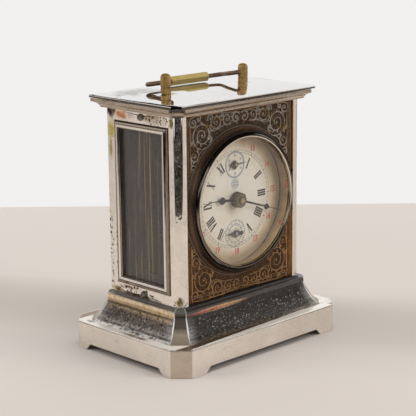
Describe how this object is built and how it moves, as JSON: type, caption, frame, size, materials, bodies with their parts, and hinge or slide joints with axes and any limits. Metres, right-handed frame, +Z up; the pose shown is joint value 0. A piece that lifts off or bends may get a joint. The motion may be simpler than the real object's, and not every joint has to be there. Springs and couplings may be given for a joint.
{
  "type": "mantel clock",
  "caption": "Nickel-plated brass carriage clock with a round dial, small seconds and alarm dials, side windows, a folding handle and a hinged rear door",
  "frame": {"origin": "middle of the underside, at the level of the feet", "axes": "+Z up, the dial faces -Y, +X to the right as the dial is read"},
  "size_m": [0.1384, 0.098, 0.165],
  "materials": {
    "worn_nickel": "nickel plate gone matt and pitted",
    "polished_nickel": "bright nickel plate, fine scratches",
    "bezel_nickel": "bright nickel plate",
    "bronze_panel": "embossed brass gone brown",
    "dial_wall_brass": "plain, satin",
    "dial_cream": "cream, stained at the rim",
    "black_steel": "black, satin",
    "grey_steel": "grey, satin",
    "clear_glass": "clear, polished",
    "handle_brass": "golden brown, worn",
    "grip_brass": "olive yellow, worn",
    "copper_wire": "dark copper colour",
    "door_brass": "satin, slightly tarnished",
    "movement_brass": "lacquered brass",
    "movement_steel": "turned steel",
    "spring_steel": "blued spring steel",
    "bell_metal": "nickelled steel",
    "seat_zinc": "dull zinc",
    "screw_steel": "dark steel",
    "key_brass": "satin"
  },
  "bodies": {
    "case": {"plinth": "worn_nickel", "base_moulding": "worn_nickel", "side_panel_left": "worn_nickel", "side_panel_right": "worn_nickel", "window_frame_left": "worn_nickel", "window_frame_right": "worn_nickel", "cornice": "worn_nickel", "top_plate": "polished_nickel", "bezel": "bezel_nickel", "front_mask": "bronze_panel", "dial_surround": "dial_wall_brass", "dial": "dial_cream", "dial_glass": "clear_glass", "side_glasses": "clear_glass", "handle_post_left": "handle_brass", "handle_post_right": "handle_brass", "back_frame": "door_brass", "front_plate": "movement_brass", "rear_plate": "movement_brass", "pillars": "movement_steel", "time_mainspring": "spring_steel", "alarm_mainspring": "spring_steel", "hairspring": "spring_steel", "bell": "bell_metal", "seat_plate": "seat_zinc", "case_screws": "screw_steel", "hex_nuts": "screw_steel", "bell_stud": "screw_steel", "hinge_pin": "screw_steel"},
    "bail": {"bail": "copper_wire", "bail_grip": "grip_brass"},
    "door": {"rear_door": "door_brass"},
    "latch": {"door_knob": "key_brass"},
    "hands": {"centre_arbor": "movement_steel", "minute_hand": "black_steel", "set_knob": "key_brass"},
    "minute_wheel": {"minute_wheel": "movement_brass"},
    "hour": {"hour_wheel": "movement_brass", "hour_hand": "black_steel"},
    "alarm_wheel": {"alarm_wheel": "movement_brass"},
    "alarm_setting": {"alarm_arbor": "movement_steel", "alarm_hand": "grey_steel", "alarm_knob": "key_brass"},
    "fourth": {"fourth_wheel": "movement_brass", "seconds_hand": "grey_steel"},
    "third": {"third_wheel": "movement_brass"},
    "centre": {"centre_wheel": "movement_brass"},
    "time_great": {"time_great_wheel": "movement_brass"},
    "escape": {"escape_wheel": "movement_brass"},
    "time_winder": {"time_winding_arbor": "movement_steel", "time_key": "key_brass"},
    "alarm_winder": {"alarm_winding_arbor": "movement_steel", "alarm_key": "key_brass"},
    "alarm_great": {"alarm_great_wheel": "movement_brass"},
    "alarm_escape": {"alarm_escape_wheel": "movement_brass"},
    "pallet": {"pallet_lever": "movement_steel"},
    "balance": {"balance_wheel": "movement_brass"},
    "hammer": {"alarm_hammer": "movement_steel"},
    "regulator": {"regulator_lever": "key_brass"},
    "stop_lever": {"alarm_stop_lever": "key_brass"}
  },
  "joints": [
    {"name": "handle", "type": "hinge", "parent": "case", "child": "bail", "pos_m": [0, 0, 0.1599], "axis": [1, 0, 0], "range_deg": [0, 200]},
    {"name": "rear_door", "type": "hinge", "parent": "case", "child": "door", "pos_m": [0.0396, 0.03, 0.09], "axis": [0, 0, -1], "range_deg": [0, 110]},
    {"name": "door_latch", "type": "hinge", "parent": "door", "child": "latch", "pos_m": [-0.032, 0.0288, 0.0896], "axis": [0, 1, 0], "range_deg": [0, 90]},
    {"name": "hand_setting", "type": "hinge", "parent": "case", "child": "hands", "pos_m": [0, 0, 0.0896], "axis": [0, 1, 0], "continuous": true},
    {"name": "minute_wheel", "type": "hinge", "parent": "case", "child": "minute_wheel", "pos_m": [0.0128, 0, 0.09186], "axis": [0, 1, 0], "continuous": true},
    {"name": "hour_hand", "type": "hinge", "parent": "case", "child": "hour", "pos_m": [0, 0, 0.0896], "axis": [0, 1, 0], "continuous": true},
    {"name": "alarm_wheel", "type": "hinge", "parent": "case", "child": "alarm_wheel", "pos_m": [0, 0, 0.0688], "axis": [0, 1, 0], "continuous": true},
    {"name": "alarm_setting", "type": "hinge", "parent": "case", "child": "alarm_setting", "pos_m": [0, 0, 0.0688], "axis": [0, 1, 0], "continuous": true},
    {"name": "going_train", "type": "hinge", "parent": "case", "child": "fourth", "pos_m": [0, 0, 0.1104], "axis": [0, 1, 0], "continuous": true},
    {"name": "third_wheel", "type": "hinge", "parent": "case", "child": "third", "pos_m": [0.00799, 0, 0.10158], "axis": [0, 1, 0], "continuous": true},
    {"name": "centre_wheel", "type": "hinge", "parent": "case", "child": "centre", "pos_m": [0, 0, 0.0896], "axis": [0, 1, 0], "continuous": true},
    {"name": "time_great_wheel", "type": "hinge", "parent": "case", "child": "time_great", "pos_m": [-0.01918, 0, 0.08106], "axis": [0, 1, 0], "continuous": true},
    {"name": "escape_wheel", "type": "hinge", "parent": "case", "child": "escape", "pos_m": [-0.00934, 0, 0.11579], "axis": [0, 1, 0], "continuous": true},
    {"name": "time_winding", "type": "hinge", "parent": "case", "child": "time_winder", "pos_m": [-0.01918, 0, 0.08106], "axis": [0, 1, 0], "continuous": true},
    {"name": "alarm_winding", "type": "hinge", "parent": "case", "child": "alarm_winder", "pos_m": [0.01918, 0, 0.08106], "axis": [0, 1, 0], "continuous": true},
    {"name": "alarm_train", "type": "hinge", "parent": "case", "child": "alarm_great", "pos_m": [0.01918, 0, 0.08106], "axis": [0, 1, 0], "continuous": true},
    {"name": "alarm_escape_wheel", "type": "hinge", "parent": "case", "child": "alarm_escape", "pos_m": [0.02768, 0, 0.09578], "axis": [0, 1, 0], "continuous": true},
    {"name": "pallet", "type": "hinge", "parent": "case", "child": "pallet", "pos_m": [-0.0191, 0, 0.11494], "axis": [0, 1, 0], "range_deg": [-4, 4]},
    {"name": "balance", "type": "hinge", "parent": "case", "child": "balance", "pos_m": [-0.02926, 0, 0.11405], "axis": [0, 1, 0], "range_deg": [-120, 120], "stiffness_Nm_per_rad": 0.000034},
    {"name": "hammer", "type": "hinge", "parent": "case", "child": "hammer", "pos_m": [0.03018, 0, 0.10578], "axis": [0, 1, 0], "range_deg": [0, 3]},
    {"name": "regulator", "type": "hinge", "parent": "case", "child": "regulator", "pos_m": [-0.02926, 0, 0.11405], "axis": [0, 1, 0], "range_deg": [-20, 20]},
    {"name": "alarm_stop", "type": "hinge", "parent": "case", "child": "stop_lever", "pos_m": [0.024, 0, 0.1216], "axis": [0, 1, 0], "range_deg": [0, 25]}
  ],
  "couplings": [
    {"joint": "minute_wheel", "follows": "hand_setting", "ratio": -0.33333},
    {"joint": "hour_hand", "follows": "hand_setting", "ratio": 0.083333},
    {"joint": "alarm_wheel", "follows": "hand_setting", "ratio": -0.083333},
    {"joint": "third_wheel", "follows": "going_train", "ratio": -0.13333},
    {"joint": "centre_wheel", "follows": "going_train", "ratio": 0.016667},
    {"joint": "time_great_wheel", "follows": "going_train", "ratio": -0.0027778},
    {"joint": "escape_wheel", "follows": "going_train", "ratio": -10},
    {"joint": "alarm_escape_wheel", "follows": "alarm_train", "ratio": -7.5}
  ]
}
